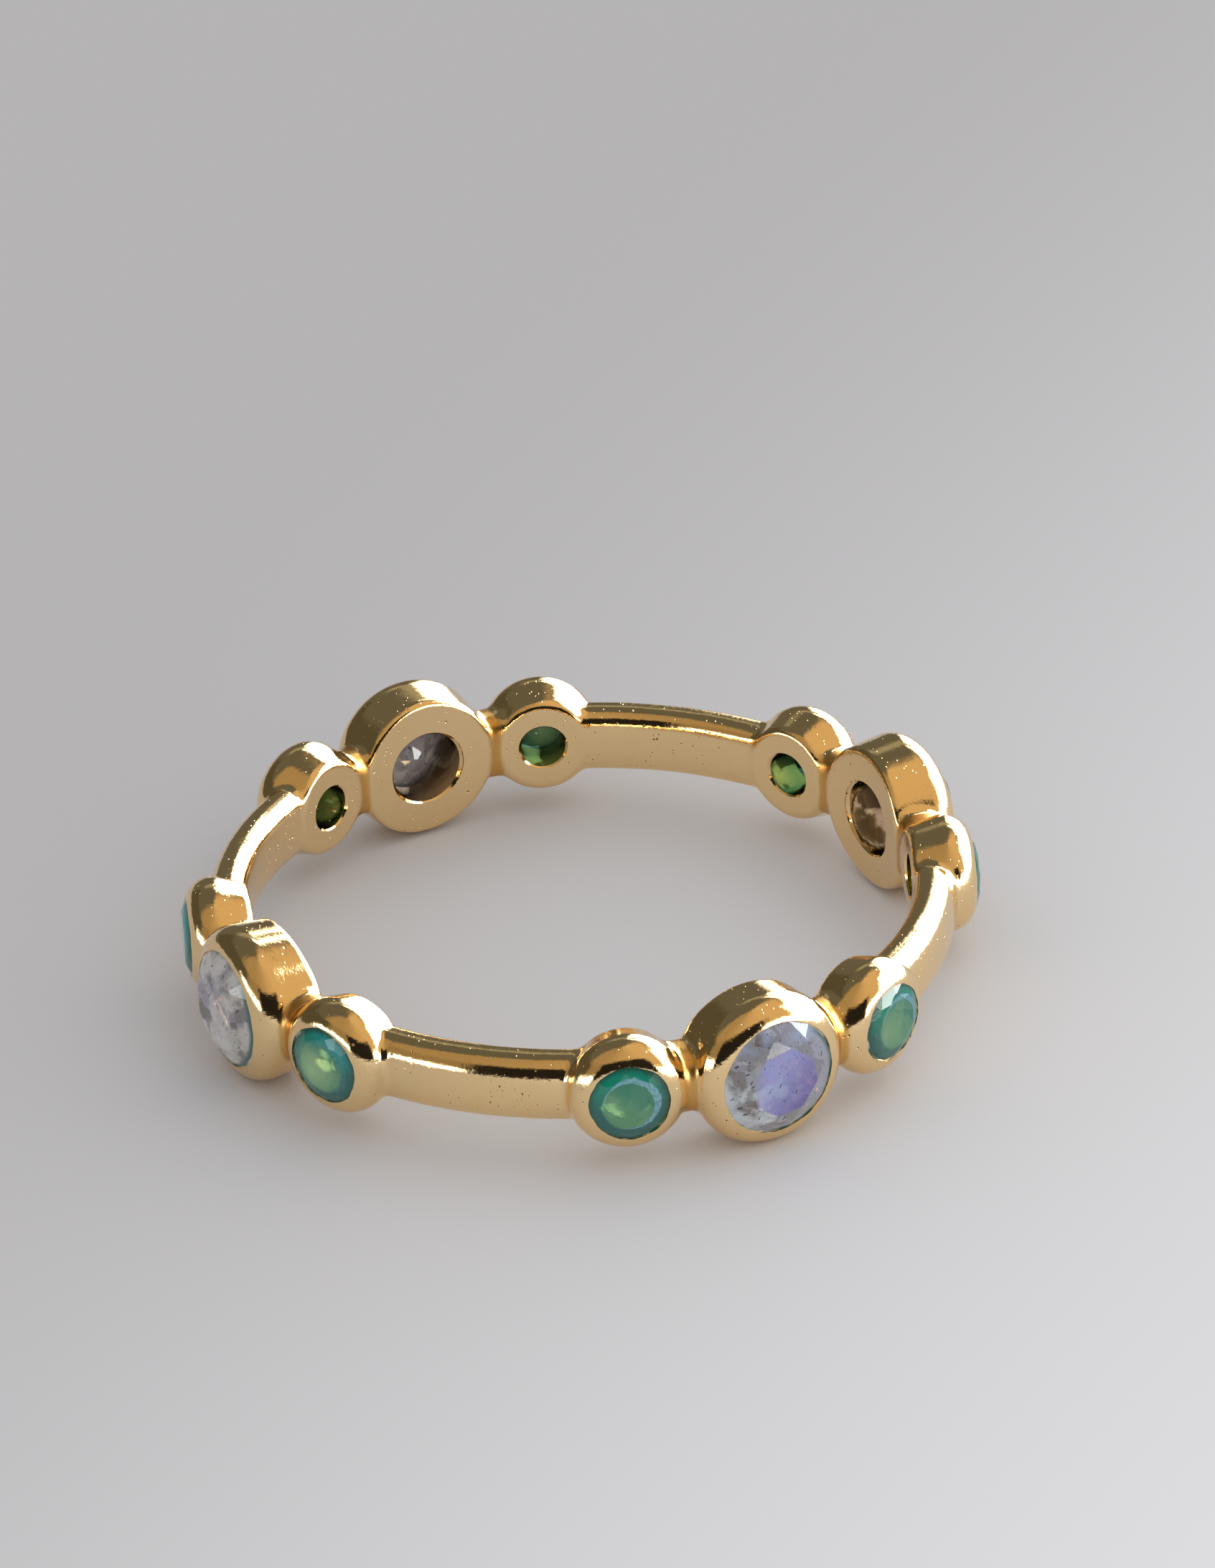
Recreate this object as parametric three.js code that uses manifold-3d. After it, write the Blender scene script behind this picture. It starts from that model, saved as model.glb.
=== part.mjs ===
// A stackable finger ring with twelve bezel-set stones, in millimetres.
// The ring lies on its side: its axis is +Z, and z = 0 is the lowest line of the four large bezels.
// The four large settings face -Y, +X, +Y and -X, each with a small setting on either side.

import * as THREE from "three";
import { mergeVertices } from "three/addons/utils/BufferGeometryUtils.js";
import Module from "manifold-3d";

const wasm = await Module();
wasm.setup();

// ---- Driving dimensions ----

const FINGER_RADIUS = 8.65;
const GROUPS = 4;
const SMALL_OFFSET_DEG = 21.8;

const BAND_MID_RADIUS = 9.2;
const BAND_HALF_HEIGHT = 0.9;
const BAND_INNER_REACH = 0.6;
const BAND_ROUNDNESS = 3.0;
const NECK_OUTER_RADIUS = 9.55;
const BAR_OUTER_RADIUS = 9.8;
const BAR_HALF_SPAN_DEG = 14.5;
const BAR_BLEND_DEG = 5.0;

const STONE_GAP = 0.03;
const UNDER_STONE_GAP = 0.06;
const LIP_RIM = 0.04;
const MESH_STEP = 0.0005;

const BAND_SEGMENTS = 72;
const BAND_SIDES = 12;
const BORE_SEGMENTS = 72;
const STONE_SEGMENTS = 16;

// Each setting, measured along its own axis from the ring's axis.
// lip: the edge that holds the stone; belly: the widest stretch; root: at the finger bore.
const LARGE = {
  lipRadius: 1.56,
  lipPlane: 10.4,
  bellyRadius: 2.07,
  bellyTop: 9.82,
  bellyBottom: 9.5,
  rootRadius: 1.95,
  holeRadius: 1.0,
  stoneRadius: 1.72,
  tableRadius: 0.94,
  tablePlane: 10.74,
  girdleTop: 10.2,
  girdleBottom: 10.08,
  culetPlane: 9.0,
  cupSegments: 28,
  pocketSegments: 20,
};

const SMALL = {
  lipRadius: 1.045,
  lipPlane: 10.3,
  bellyRadius: 1.55,
  bellyTop: 9.68,
  bellyBottom: 9.42,
  rootRadius: 1.26,
  holeRadius: 0.6,
  stoneRadius: 1.19,
  tableRadius: 0.66,
  tablePlane: 10.4,
  girdleTop: 10.16,
  girdleBottom: 10.06,
  culetPlane: 9.32,
  cupSegments: 20,
  pocketSegments: 16,
};

const ROOT_PLANE = 8.2;
const CUT_PAST = 1.0;
const LIP_STEPS = 3;
const MID_HEIGHT = LARGE.bellyRadius;

// ---- Colours and finishes ----

const GOLD = { color: 0xd9a85c, roughness: 0.12, metalness: 1.0 };
const LABRADORITE = { color: 0xa9aecb, roughness: 0.05, metalness: 0.0 };
const GREEN_ONYX = { color: 0x2f7f6a, roughness: 0.05, metalness: 0.0 };

const degrees = (angle) => (angle * Math.PI) / 180;
const point = (radius, height) => new THREE.Vector2(radius, height);

// ---- Solids: three.js geometry in, manifold-3d joins and cuts, three.js geometry out ----

function solidFrom(geometry) {
  geometry.deleteAttribute("normal");
  geometry.deleteAttribute("uv");
  const merged = mergeVertices(geometry, MESH_STEP);
  return new wasm.Manifold(
    new wasm.Mesh({
      numProp: 3,
      vertProperties: new Float32Array(merged.attributes.position.array),
      triVerts: new Uint32Array(merged.index.array),
    }),
  );
}

function geometryFrom(solid) {
  const mesh = solid.getMesh();
  const geometry = new THREE.BufferGeometry();
  geometry.setAttribute("position", new THREE.BufferAttribute(mesh.vertProperties, 3));
  geometry.setIndex(new THREE.BufferAttribute(mesh.triVerts, 1));
  geometry.computeVertexNormals();
  return geometry;
}

// A profile turned about Y whose flat facets, not its corners, touch the stated radii.
function turned(profile, segments) {
  const outward = 1 / Math.cos(Math.PI / segments);
  const corners = profile.map((p) => point(p.x * outward, p.y));
  return new THREE.LatheGeometry(corners, segments, Math.PI / segments);
}

// ---- Band: an oval bar bent into a circle, thinner where it becomes a neck between cups ----

function smoothStep(value) {
  const t = THREE.MathUtils.clamp(value, 0, 1);
  return t * t * (3 - 2 * t);
}

// Outer radius at an angle, counted from the middle of a bar.
function bandOuterRadius(angleFromBarMiddle) {
  const past = (Math.abs(angleFromBarMiddle) - degrees(BAR_HALF_SPAN_DEG)) / degrees(BAR_BLEND_DEG);
  return THREE.MathUtils.lerp(BAR_OUTER_RADIUS, NECK_OUTER_RADIUS, smoothStep(past));
}

function bandGeometry() {
  const profile = [];
  for (let i = 0; i <= BAND_SIDES; i += 1) {
    const angle = (2 * Math.PI * (i % BAND_SIDES)) / BAND_SIDES;
    const across = Math.sign(Math.cos(angle)) * Math.abs(Math.cos(angle)) ** (2 / BAND_ROUNDNESS);
    const up = Math.sign(Math.sin(angle)) * Math.abs(Math.sin(angle)) ** (2 / BAND_ROUNDNESS);
    profile.push(point(BAND_MID_RADIUS + across * BAND_INNER_REACH, up * BAND_HALF_HEIGHT));
  }
  const geometry = new THREE.LatheGeometry(profile, BAND_SEGMENTS);
  geometry.rotateX(Math.PI / 2);
  const position = geometry.attributes.position;
  const groupAngle = (2 * Math.PI) / GROUPS;
  for (let i = 0; i < position.count; i += 1) {
    const x = position.getX(i);
    const y = position.getY(i);
    const radius = Math.hypot(x, y);
    const turnsPastGroup = Math.atan2(y, x) / groupAngle;
    const fromBarMiddle = (turnsPastGroup - Math.floor(turnsPastGroup) - 0.5) * groupAngle;
    const outerReach = bandOuterRadius(fromBarMiddle) - BAND_MID_RADIUS;
    const reach = radius - BAND_MID_RADIUS;
    const moved = BAND_MID_RADIUS + (reach > 0 ? (reach * outerReach) / BAND_INNER_REACH : reach);
    position.setXY(i, (x * moved) / radius, (y * moved) / radius);
  }
  return geometry;
}

// ---- Settings ----

// A tapered cup: root, widest belly, then a lip rounded over onto the stone.
function cupGeometry(setting) {
  const profile = [
    point(0, ROOT_PLANE),
    point(setting.rootRadius, ROOT_PLANE),
    point(setting.rootRadius, FINGER_RADIUS),
    point(setting.bellyRadius, setting.bellyBottom),
    point(setting.bellyRadius, setting.bellyTop),
  ];
  for (let i = 1; i <= LIP_STEPS; i += 1) {
    const angle = (i / LIP_STEPS) * (Math.PI / 2);
    const inward = (setting.bellyRadius - setting.lipRadius - LIP_RIM) * (1 - Math.cos(angle));
    const outward = (setting.lipPlane - setting.bellyTop) * Math.sin(angle);
    profile.push(point(setting.bellyRadius - inward, setting.bellyTop + outward));
  }
  profile.push(point(0, setting.lipPlane));
  return turned(profile, setting.cupSegments);
}

// The space cut for the stone, with the open back behind it.
function pocketGeometry(setting) {
  const seatRadius = setting.stoneRadius + STONE_GAP;
  const pavilionSlope = (setting.girdleBottom - setting.culetPlane) / setting.stoneRadius;
  const crownSlope =
    (setting.tablePlane - setting.girdleTop) / (setting.stoneRadius - setting.tableRadius);
  const seatTop = setting.girdleBottom - UNDER_STONE_GAP;
  const seatFoot = seatTop - (setting.stoneRadius - setting.holeRadius) * pavilionSlope;
  const underLip =
    setting.girdleTop + STONE_GAP + (setting.stoneRadius - setting.lipRadius) * crownSlope;
  const profile = [
    point(0, ROOT_PLANE - CUT_PAST),
    point(setting.holeRadius, ROOT_PLANE - CUT_PAST),
    point(setting.holeRadius, seatFoot),
    point(seatRadius, seatTop),
    point(seatRadius, setting.girdleTop + STONE_GAP),
    point(setting.lipRadius, underLip),
    point(setting.lipRadius, setting.lipPlane + CUT_PAST),
    point(0, setting.lipPlane + CUT_PAST),
  ];
  return turned(profile, setting.pocketSegments);
}

// A round faceted stone: table, crown, thin girdle and a pavilion that ends in a point.
function stoneGeometry(setting) {
  const profile = [
    point(0, setting.culetPlane),
    point(setting.stoneRadius, setting.girdleBottom),
    point(setting.stoneRadius, setting.girdleTop),
    point(setting.tableRadius, setting.tablePlane),
    point(0, setting.tablePlane),
  ];
  return new THREE.LatheGeometry(profile, STONE_SEGMENTS, Math.PI / STONE_SEGMENTS);
}

// Turns a shape made about +Y so that it faces out of the ring at the azimuth from +X.
function facing(geometry, azimuth) {
  return geometry.rotateZ(azimuth - Math.PI / 2);
}

// ---- Assembly ----

const settings = [];
for (let group = 0; group < GROUPS; group += 1) {
  const middle = (group * 2 * Math.PI) / GROUPS - Math.PI / 2;
  settings.push({ shape: SMALL, azimuth: middle - degrees(SMALL_OFFSET_DEG) });
  settings.push({ shape: LARGE, azimuth: middle });
  settings.push({ shape: SMALL, azimuth: middle + degrees(SMALL_OFFSET_DEG) });
}

function ringBodyGeometry() {
  let body = solidFrom(bandGeometry());
  for (const { shape, azimuth } of settings) {
    body = body.add(solidFrom(facing(cupGeometry(shape), azimuth)));
  }
  const boreHeight = 2 * (LARGE.bellyRadius + CUT_PAST);
  const bore = new THREE.CylinderGeometry(FINGER_RADIUS, FINGER_RADIUS, boreHeight, BORE_SEGMENTS);
  body = body.subtract(solidFrom(bore.rotateX(Math.PI / 2)));
  for (const { shape, azimuth } of settings) {
    body = body.subtract(solidFrom(facing(pocketGeometry(shape), azimuth)));
  }
  return geometryFrom(body);
}

const ring = new THREE.Group();

function addPiece(name, geometry, finish) {
  const piece = new THREE.Mesh(geometry, new THREE.MeshStandardMaterial(finish));
  piece.name = name;
  piece.position.z = MID_HEIGHT;
  ring.add(piece);
}

addPiece("ring_body", ringBodyGeometry(), GOLD);

let largeCount = 0;
let smallCount = 0;
for (const { shape, azimuth } of settings) {
  const stone = facing(stoneGeometry(shape), azimuth);
  if (shape === LARGE) {
    largeCount += 1;
    addPiece(`labradorite_${largeCount}`, stone, LABRADORITE);
  } else {
    smallCount += 1;
    addPiece(`green_onyx_${smallCount}`, stone, GREEN_ONYX);
  }
}

export default ring;
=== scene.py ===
"""A gold stackable ring with round labradorite and green onyx stones, on a pale floor."""
import math

import bmesh
import bpy
import numpy as np
from mathutils import Matrix, Vector


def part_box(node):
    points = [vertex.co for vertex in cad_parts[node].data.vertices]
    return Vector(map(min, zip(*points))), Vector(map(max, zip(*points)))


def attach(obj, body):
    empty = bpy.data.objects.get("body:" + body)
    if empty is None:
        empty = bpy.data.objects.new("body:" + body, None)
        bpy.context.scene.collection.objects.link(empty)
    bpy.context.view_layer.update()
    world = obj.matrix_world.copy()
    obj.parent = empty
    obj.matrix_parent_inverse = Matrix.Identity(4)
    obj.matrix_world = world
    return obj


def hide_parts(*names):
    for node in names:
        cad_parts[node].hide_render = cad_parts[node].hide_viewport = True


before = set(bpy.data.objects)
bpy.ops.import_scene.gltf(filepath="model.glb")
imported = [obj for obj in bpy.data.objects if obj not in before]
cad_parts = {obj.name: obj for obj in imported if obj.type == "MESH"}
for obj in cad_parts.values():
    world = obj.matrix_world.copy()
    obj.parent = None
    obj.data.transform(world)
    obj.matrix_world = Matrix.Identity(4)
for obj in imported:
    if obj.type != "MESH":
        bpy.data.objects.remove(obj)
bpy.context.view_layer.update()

MM = 0.001

# ---- The ring's own dimensions, in millimetres, about its centre at mid height ----

FINGER_RADIUS = 8.65
GROUPS = 4
GROUP_ANGLE = 2 * math.pi / GROUPS
SMALL_OFFSET = math.radians(21.8)
MID_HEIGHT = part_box("ring_body")[1].z / MM / 2

BAND_MID_RADIUS = 9.2
BAND_INNER_REACH = 0.6
BAND_HALF_HEIGHT = 0.93
BAND_ROUNDNESS = 2.4
BAR_OUTER_RADIUS = 9.8
NECK_OUTER_RADIUS = 9.55
WEB_OUTER_RADIUS = 10.06
BAR_HALF_SPAN = math.radians(14.5)
BAR_BLEND = math.radians(5.0)
WEB_START = math.radians(21.0)

# Rounded edges, and the fillets from cup to cup and from the cups to the band.
LIP_ROUND = 0.7
CUP_BLEND = 0.12
BAND_BLEND = 0.17
BORE_EDGE = 0.20
HOLE_EDGE = 0.08

# The painted shade on a web, the deeper orange that light bouncing between two cups gives, lies where
# both cups are nearer than the gap. It fades over the width of its edge, and starts on a cup's wall,
# the lead times that width before the web.
WEB_EDGE = 0.12
WEB_LEAD = 0.9
WEB_GAP = 0.45

# Each setting, measured along its own axis from the ring's axis.
LARGE = {
    "root": 1.95, "belly": 2.07, "belly_plane": 9.73, "lip": 1.56, "hole": 1.0,
    "seat_top": 9.98, "seat_foot": 9.62,
}
SMALL = {
    "root": 1.26, "belly": 1.55, "belly_plane": 9.63, "lip": 1.045, "hole": 0.6,
    "seat_top": 10.0, "seat_foot": 9.68,
}
# Planes well inside the bore and well past every lip.
ROOT_PLANE = 7.5
OUT_PLANE = 12.0

# How many times each lip waves as it goes round, and how strongly.
LIP_WAVES = ((2, 0.5), (3, 0.6), (5, 0.6), (8, 0.5), (13, 0.35), (19, 0.25))
LIP_WOBBLE = 0.012

# Size and depth of the waves that hand finishing left in the metal.
HAND_WAVES = ((1.3, 0.007), (0.5, 0.0035))

rng = np.random.default_rng(7)
LIP_PHASES = rng.uniform(0, 2 * math.pi, (3 * GROUPS, len(LIP_WAVES)))
NOISE_SIDE = 16
NOISE_TABLE = rng.uniform(-1, 1, (NOISE_SIDE,) * 3)


# ---- Shape of the casting, as signed distances in millimetres ----

# The least values that the oval's level and slope may take, near the middle of the band.
LEAST_LEVEL = 1e-6
LEAST_SLOPE = 0.5


def smooth_min(a, b, blend):
    """The smaller of two distances, with a fillet about as wide as the blend."""
    share = np.clip(0.5 + 0.5 * (b - a) / blend, 0, 1)
    return b + (a - b) * share - blend * share * (1 - share)


def smooth_max(a, b, blend):
    return -smooth_min(-a, -b, blend)


def ease(share):
    """Rises smoothly from 0 to 1 as the share does."""
    share = np.clip(share, 0, 1)
    return share * share * (3 - 2 * share)


def outline_distance(across, along, corners):
    """Signed distance to a closed outline of straight sides, negative inside."""
    nearest = np.full(across.shape, np.inf)
    inside = np.zeros(across.shape, bool)
    for (x0, y0), (x1, y1) in zip(corners, corners[1:] + corners[:1]):
        dx, dy = x1 - x0, y1 - y0
        share = np.clip(((across - x0) * dx + (along - y0) * dy) / (dx * dx + dy * dy), 0, 1)
        gap = np.hypot(across - x0 - share * dx, along - y0 - share * dy)
        nearest = np.minimum(nearest, gap)
        if dy:
            passes = (along < y0) != (along < y1)
            inside ^= passes & (across < x0 + (along - y0) * dx / dy)
    return np.where(inside, -nearest, nearest)


def cup_distance(across, along, cup):
    """A cup that widens from its root to its belly, with its lip rounded over."""
    core = [
        (-OUT_PLANE, ROOT_PLANE),
        (cup["root"] - LIP_ROUND, ROOT_PLANE),
        (cup["root"] - LIP_ROUND, FINGER_RADIUS),
        (cup["belly"] - LIP_ROUND, cup["belly_plane"]),
        (-OUT_PLANE, cup["belly_plane"]),
    ]
    return outline_distance(across, along, core) - LIP_ROUND


def band_distance(radius, height, from_bar):
    """An oval bar bent into a circle, with a thin neck at each end and a web between two cups."""
    neck = ease((from_bar - BAR_HALF_SPAN) / BAR_BLEND)
    web = ease((from_bar - WEB_START) / BAR_BLEND)
    outer = BAR_OUTER_RADIUS + (NECK_OUTER_RADIUS - BAR_OUTER_RADIUS) * neck
    outer = outer + (WEB_OUTER_RADIUS - NECK_OUTER_RADIUS) * web
    reach = np.where(radius > BAND_MID_RADIUS, outer - BAND_MID_RADIUS, BAND_INNER_REACH)
    across = np.abs(radius - BAND_MID_RADIUS) / reach
    up = np.abs(height) / BAND_HALF_HEIGHT
    power = BAND_ROUNDNESS
    level = np.maximum(across**power + up**power, LEAST_LEVEL) ** (1 / power)
    slope = np.hypot(across ** (power - 1) / reach, up ** (power - 1) / BAND_HALF_HEIGHT)
    slope = np.maximum(slope / level ** (power - 1), LEAST_SLOPE)
    return (level - 1) / slope


def smooth_noise(points, size):
    """Smooth noise from -1 to 1 with lumps of the given size."""
    scaled = points / size
    cell = np.floor(scaled).astype(int)
    t = scaled - cell
    t = t * t * t * (t * (6 * t - 15) + 10)
    total = 0
    for corner in np.ndindex(2, 2, 2):
        share = np.prod(np.where(np.array(corner), t, 1 - t), axis=-1)
        i, j, k = np.moveaxis((cell + corner) % NOISE_SIDE, -1, 0)
        total = total + share * NOISE_TABLE[i, j, k]
    return total


def part_distances(points):
    """Signed distances to the band and to the nearest large and small cups, and the radius."""
    x, y, z = np.moveaxis(points, -1, 0)
    radius = np.hypot(x, y)
    turned = np.arctan2(y, x) + math.pi / 2
    offset = turned - np.round(turned / GROUP_ANGLE) * GROUP_ANGLE
    cups = []
    for cup, angle in ((LARGE, offset), (SMALL, np.abs(offset) - SMALL_OFFSET)):
        across = np.hypot(radius * np.sin(angle), z)
        cups.append(cup_distance(across, radius * np.cos(angle), cup))
    band = band_distance(radius, z, GROUP_ANGLE / 2 - np.abs(offset))
    return band, cups, radius


def casting_distance(points):
    """Signed distance to the casting before its pockets are cut. The points are about its centre."""
    band, cups, radius = part_distances(points)
    metal = smooth_min(band, smooth_min(cups[0], cups[1], CUP_BLEND), BAND_BLEND)
    for size, depth in HAND_WAVES:
        metal = metal + depth * smooth_noise(points, size)
    return smooth_max(metal, FINGER_RADIUS - radius, BORE_EDGE)


def web_shade_share(points):
    """1 on the narrow webs between two cups, where the gold is given painted shade, 0 elsewhere."""
    band, cups, _ = part_distances(points)
    beyond = ease((np.minimum(cups[0], cups[1]) - band) / WEB_EDGE + WEB_LEAD)
    return beyond * ease((WEB_GAP - np.maximum(cups[0], cups[1])) / WEB_EDGE)


# ---- From distances to a mesh: one corner in each cell that the surface crosses ----

PROBE = 0.0002
HALVINGS = 4
PULLS = 3
CHUNK = 400_000
LEAST_LENGTH = 1e-12


def in_chunks(function, points):
    """The function of all the points, a part of them at a time to save memory."""
    return np.concatenate([function(points[i:i + CHUNK]) for i in range(0, len(points), CHUNK)])


def unit(vectors):
    lengths = np.linalg.norm(vectors, axis=1, keepdims=True)
    return vectors / np.maximum(lengths, LEAST_LENGTH)


def surface_normals(distance, points):
    """Unit vectors along which the distance grows fastest."""
    slope = np.empty_like(points)
    for axis in range(3):
        step = np.zeros(3)
        step[axis] = PROBE
        slope[:, axis] = in_chunks(distance, points + step) - in_chunks(distance, points - step)
    return unit(slope)


def to_space(places):
    """Angle, radius and height to x, y and z."""
    angle, radius, height = np.moveaxis(places, -1, 0)
    return np.stack([radius * np.cos(angle), radius * np.sin(angle), height], -1)


def crossings(distance, low, high, low_value, high_value):
    """Where the surface cuts each grid edge: halved a few times, then in proportion."""
    for _ in range(HALVINGS):
        middle = (low + high) / 2
        value = in_chunks(distance, to_space(middle))
        same = (value < 0) == (low_value < 0)
        low = np.where(same[:, None], middle, low)
        high = np.where(same[:, None], high, middle)
        low_value = np.where(same, value, low_value)
        high_value = np.where(same, high_value, value)
    return to_space(low + (high - low) * (low_value / (low_value - high_value))[:, None])


def contour(distance, angles, radii, heights):
    """Vertices and quads of the surface. The angles go all the way round the ring."""
    shape = (len(angles), len(radii), len(heights))
    grid = np.stack(np.meshgrid(angles, radii, heights, indexing="ij"), -1)
    value = in_chunks(distance, to_space(grid.reshape(-1, 3))).reshape(shape)
    cell_ids = np.arange(np.prod(shape)).reshape(shape)

    points, quads = [], []
    for axis in range(3):
        ahead = np.roll(grid, -1, axis)
        ahead[..., 0] += 2 * math.pi * (ahead[..., 0] < grid[..., 0])
        ahead_value = np.roll(value, -1, axis)
        crossed = (value < 0) != (ahead_value < 0)
        crossed[:, [0, -1], :] = False
        crossed[:, :, [0, -1]] = False
        found = crossings(
            distance, grid[crossed], ahead[crossed], value[crossed], ahead_value[crossed]
        )
        around = [a for a in range(3) if a != axis]
        near = [np.roll(cell_ids, shift, around) for shift in ((1, 1), (0, 1), (0, 0), (1, 0))]
        four = np.stack([n[crossed] for n in near], -1)
        # Four cells taken in this order face the way of the radius, and against the other two.
        backward = (value[crossed] < 0) != (axis == 1)
        four[backward] = four[backward][:, ::-1]
        points.append(found)
        quads.append(four)

    points, quads = np.concatenate(points), np.concatenate(quads)
    _, corner = np.unique(quads, return_inverse=True)
    quads = corner.reshape(-1, 4)
    cell = quads.ravel()
    count = np.bincount(cell)
    point = np.repeat(points, 4, axis=0)
    vertices = np.stack([np.bincount(cell, point[:, a]) / count for a in range(3)], -1)
    for _ in range(PULLS):
        lean = surface_normals(distance, vertices)
        vertices -= lean * in_chunks(distance, vertices)[:, None]
    return vertices, quads


def grid_angles(fine, coarse):
    """Steps round the ring: fine across the settings, coarse along the plain bars."""
    steps = []
    bar_edge = GROUP_ANGLE / 2 - PLAIN_HALF_SPAN
    fine_count = round(2 * bar_edge / fine)
    coarse_count = round(2 * PLAIN_HALF_SPAN / coarse)
    for group in range(GROUPS):
        middle = group * GROUP_ANGLE - math.pi / 2
        steps.append(np.linspace(middle - bar_edge, middle + bar_edge, fine_count, endpoint=False))
        after = middle + bar_edge
        next_group = after + 2 * PLAIN_HALF_SPAN
        steps.append(np.linspace(after, next_group, coarse_count, endpoint=False))
    return np.concatenate(steps)


def add_object(name, data):
    made = bpy.data.objects.new(name, data)
    bpy.context.scene.collection.objects.link(made)
    return made


# ---- The casting: a blank from the distances, with a pocket cut for each stone ----

# The margins are in steps past the metal.
FINE_STEP = 0.076
COARSE_STEP = 0.2
MARGIN = 2.5
OUTER_MARGIN = 3
PLAIN_HALF_SPAN = math.radians(12.5)
OUTER_REACH = math.hypot(LARGE["belly"] - LIP_ROUND, LARGE["belly_plane"]) + LIP_ROUND
POCKET_SIDES = 96
HOLE_STEPS = 4

# Corners closer than the weld are one. A face further off the surface than the slack is a pocket's.
WELD = 0.001
SURFACE_SLACK = 0.003


def lip_wobble(angle, setting):
    """How far a setting's lip strays from a true circle at an angle."""
    total = 0
    for (count, size), phase in zip(LIP_WAVES, LIP_PHASES[setting]):
        total += size * math.sin(count * angle + phase)
    return LIP_WOBBLE * total


def pocket_profile(cup):
    """Radius, plane and share of the lip's wobble, from the open back to past the lip."""
    profile = [(cup["hole"] + HOLE_EDGE, ROOT_PLANE, 0)]
    for step in range(HOLE_STEPS + 1):
        angle = step / HOLE_STEPS * math.pi / 2
        plane = FINGER_RADIUS - HOLE_EDGE / 2 + HOLE_EDGE * math.sin(angle)
        profile.append((cup["hole"] + HOLE_EDGE * (1 - math.sin(angle)), plane, 0))
    profile.append((cup["hole"], cup["seat_foot"], 0))
    profile.append((cup["lip"], cup["seat_top"], 1))
    profile.append((cup["lip"], OUT_PLANE, 1))
    return profile


def pocket_cutter():
    """One mesh of twelve closed plugs, each the space for a stone and the hole behind it."""
    cutter = bmesh.new()
    for setting in range(3 * GROUPS):
        group, place = divmod(setting, 3)
        cup = LARGE if place == 1 else SMALL
        azimuth = group * GROUP_ANGLE - math.pi / 2 + (place - 1) * SMALL_OFFSET
        outward = Vector((math.cos(azimuth), math.sin(azimuth), 0))
        sideways = Vector((-math.sin(azimuth), math.cos(azimuth), 0))
        rings = []
        for radius, plane, share in pocket_profile(cup):
            ring = []
            for k in range(POCKET_SIDES):
                angle = 2 * math.pi * k / POCKET_SIDES
                reach = radius + share * lip_wobble(angle, setting)
                corner = sideways * reach * math.cos(angle) + outward * plane
                corner.z += reach * math.sin(angle)
                ring.append(cutter.verts.new(corner))
            rings.append(ring)
        cutter.faces.new(rings[0])
        cutter.faces.new(rings[-1][::-1])
        for below, above in zip(rings, rings[1:]):
            for k in range(POCKET_SIDES):
                after = (k + 1) % POCKET_SIDES
                cutter.faces.new((below[k], above[k], above[after], below[after]))
    bmesh.ops.recalc_face_normals(cutter, faces=cutter.faces[:])
    mesh = bpy.data.meshes.new("pocket_cutter")
    cutter.to_mesh(mesh)
    cutter.free()
    return add_object("pocket_cutter", mesh)


def cut_pockets(blank):
    """The blank's mesh with every pocket cut out of it."""
    cutter = pocket_cutter()
    cut = blank.modifiers.new("pockets", "BOOLEAN")
    cut.operation = "DIFFERENCE"
    cut.solver = "MANIFOLD"
    cut.object = cutter
    finished = blank.evaluated_get(bpy.context.evaluated_depsgraph_get())
    mesh = bpy.data.meshes.new_from_object(finished)
    # The modifier leaves an empty material slot, which would come before the gold.
    mesh.materials.clear()
    bpy.data.objects.remove(cutter)
    bpy.data.objects.remove(blank)
    return mesh


def weld_corners(mesh):
    welded = bmesh.new()
    welded.from_mesh(mesh)
    bmesh.ops.remove_doubles(welded, verts=welded.verts[:], dist=WELD)
    welded.to_mesh(mesh)
    welded.free()


def read_mesh(items, name, width=1, kind=float):
    """One value of every item, or one row of values."""
    values = np.empty(width * len(items), kind)
    items.foreach_get(name, values)
    return values.reshape(-1, width) if width > 1 else values


def shade_from_distance(mesh):
    """Exact normals on the outer surface, and averaged ones on the pocket walls."""
    vertex = read_mesh(mesh.loops, "vertex_index", kind=np.int32)
    sizes = read_mesh(mesh.polygons, "loop_total", kind=np.int32)
    corners = read_mesh(mesh.vertices, "co", 3)
    centres = read_mesh(mesh.polygons, "center", 3)
    weighted = read_mesh(mesh.polygons, "normal", 3) * read_mesh(mesh.polygons, "area")[:, None]
    off_surface = np.abs(in_chunks(casting_distance, centres)) > SURFACE_SLACK
    normals = surface_normals(casting_distance, corners)[vertex]
    walls = np.repeat(off_surface, sizes)
    total = np.zeros_like(corners)
    np.add.at(total, vertex[walls], np.repeat(weighted, sizes, axis=0)[walls])
    normals[walls] = unit(total)[vertex[walls]]
    mesh.shade_smooth()
    mesh.normals_split_custom_set(normals.tolist())


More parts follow.
